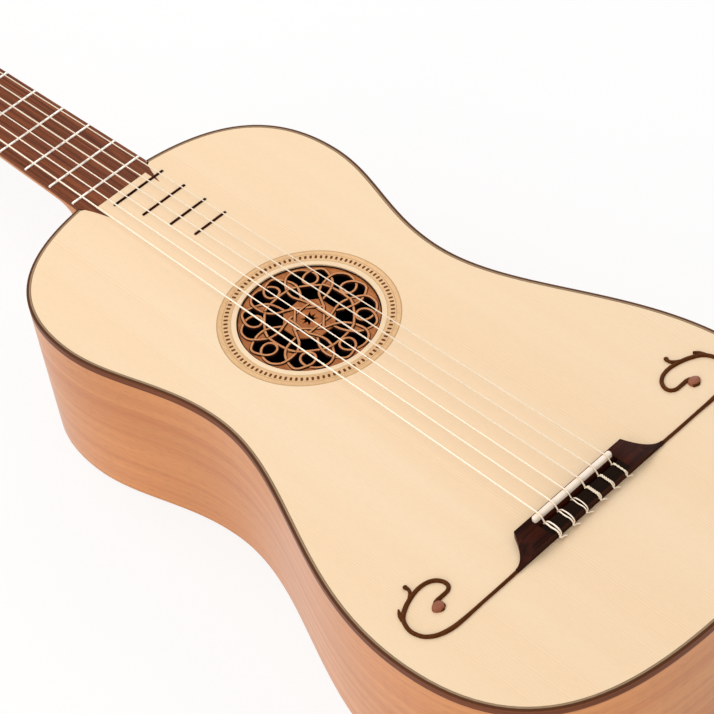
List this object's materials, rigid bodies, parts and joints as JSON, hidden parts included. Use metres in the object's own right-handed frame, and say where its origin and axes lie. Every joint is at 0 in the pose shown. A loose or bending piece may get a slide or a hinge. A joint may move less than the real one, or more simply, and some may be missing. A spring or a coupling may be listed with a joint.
{
  "type": "baroque guitar",
  "caption": "Flat-backed baroque guitar with a carved rose, scrolled bridge ends, body frets, rear friction pegs and single strings.",
  "frame": {"origin": "middle of the guitar's box, on the plane that its flat back rests on", "axes": "+Y along the neck towards the head, +Z out of the soundboard, +X towards the treble side"},
  "size_m": [0.2836, 0.927, 0.1162],
  "materials": {
    "spruce_top": "pale straight-grained spruce, thin satin varnish",
    "inlay": "pale maple and dyed wood inlay lines",
    "dark_edge": "dark stained wood, satin",
    "cherry": "light orange-brown cherry with long figure, satin varnish",
    "rosewood": "dark reddish-brown rosewood, oiled",
    "pearwood": "reddish pearwood, carved, matt",
    "scroll_wood": "mid-brown stained wood, satin",
    "brace_wood": "bare spruce and willow, unfinished",
    "peg_wood": "dark turned hardwood, polished",
    "bone": "polished bone",
    "fret_metal": "nickel silver, polished crown",
    "nylon": "clear nylon",
    "wound_silver": "silver-plated copper wire wound on a nylon core"
  },
  "bodies": {
    "root": {"soundboard": "spruce_top", "top_purfling": "inlay", "rosette_ring": "inlay", "top_binding": "dark_edge", "body_fret_10": "dark_edge", "body_fret_11": "dark_edge", "body_fret_12": "dark_edge", "body_fret_13": "dark_edge", "rib_bass": "cherry", "rib_treble": "cherry", "back": "cherry", "neck": "cherry", "headstock": "cherry", "fingerboard": "rosewood", "bridge": "rosewood", "head_veneer": "rosewood", "rose": "pearwood", "moustache_bass": "scroll_wood", "moustache_treble": "scroll_wood", "top_lining": "brace_wood", "back_lining": "brace_wood", "neck_block": "brace_wood", "tail_block": "brace_wood", "top_bar_upper": "brace_wood", "top_bar_lower": "brace_wood", "back_bar_upper": "brace_wood", "back_bar_lower": "brace_wood", "rose_seat_ring": "brace_wood", "saddle": "bone", "nut": "bone", "neck_fret_1": "fret_metal", "neck_fret_2": "fret_metal", "neck_fret_3": "fret_metal", "neck_fret_4": "fret_metal", "neck_fret_5": "fret_metal", "neck_fret_6": "fret_metal", "neck_fret_7": "fret_metal", "neck_fret_8": "fret_metal", "neck_fret_9": "fret_metal", "string_1": "nylon", "string_2": "nylon", "string_3": "nylon", "string_4": "wound_silver", "string_5": "wound_silver", "string_6": "wound_silver"},
    "peg_1": {"peg_1": "peg_wood", "winding_1": "nylon"},
    "peg_2": {"peg_2": "peg_wood", "winding_2": "nylon"},
    "peg_3": {"peg_3": "peg_wood", "winding_3": "nylon"},
    "peg_4": {"peg_4": "peg_wood", "winding_4": "wound_silver"},
    "peg_5": {"peg_5": "peg_wood", "winding_5": "wound_silver"},
    "peg_6": {"peg_6": "peg_wood", "winding_6": "wound_silver"}
  },
  "joints": [
    {"name": "peg_1_turn", "type": "hinge", "parent": "root", "child": "peg_1", "pos_m": [0.022, 0.34733, 0.09701], "axis": [0, 0.1736, 0.9848], "continuous": true},
    {"name": "peg_2_turn", "type": "hinge", "parent": "root", "child": "peg_2", "pos_m": [0.022, 0.38475, 0.09041], "axis": [0, 0.1736, 0.9848], "continuous": true},
    {"name": "peg_3_turn", "type": "hinge", "parent": "root", "child": "peg_3", "pos_m": [0.022, 0.42217, 0.08381], "axis": [0, 0.1736, 0.9848], "continuous": true},
    {"name": "peg_4_turn", "type": "hinge", "parent": "root", "child": "peg_4", "pos_m": [-0.022, 0.42217, 0.08381], "axis": [0, 0.1736, 0.9848], "continuous": true},
    {"name": "peg_5_turn", "type": "hinge", "parent": "root", "child": "peg_5", "pos_m": [-0.022, 0.38475, 0.09041], "axis": [0, 0.1736, 0.9848], "continuous": true},
    {"name": "peg_6_turn", "type": "hinge", "parent": "root", "child": "peg_6", "pos_m": [-0.022, 0.34733, 0.09701], "axis": [0, 0.1736, 0.9848], "continuous": true}
  ]
}
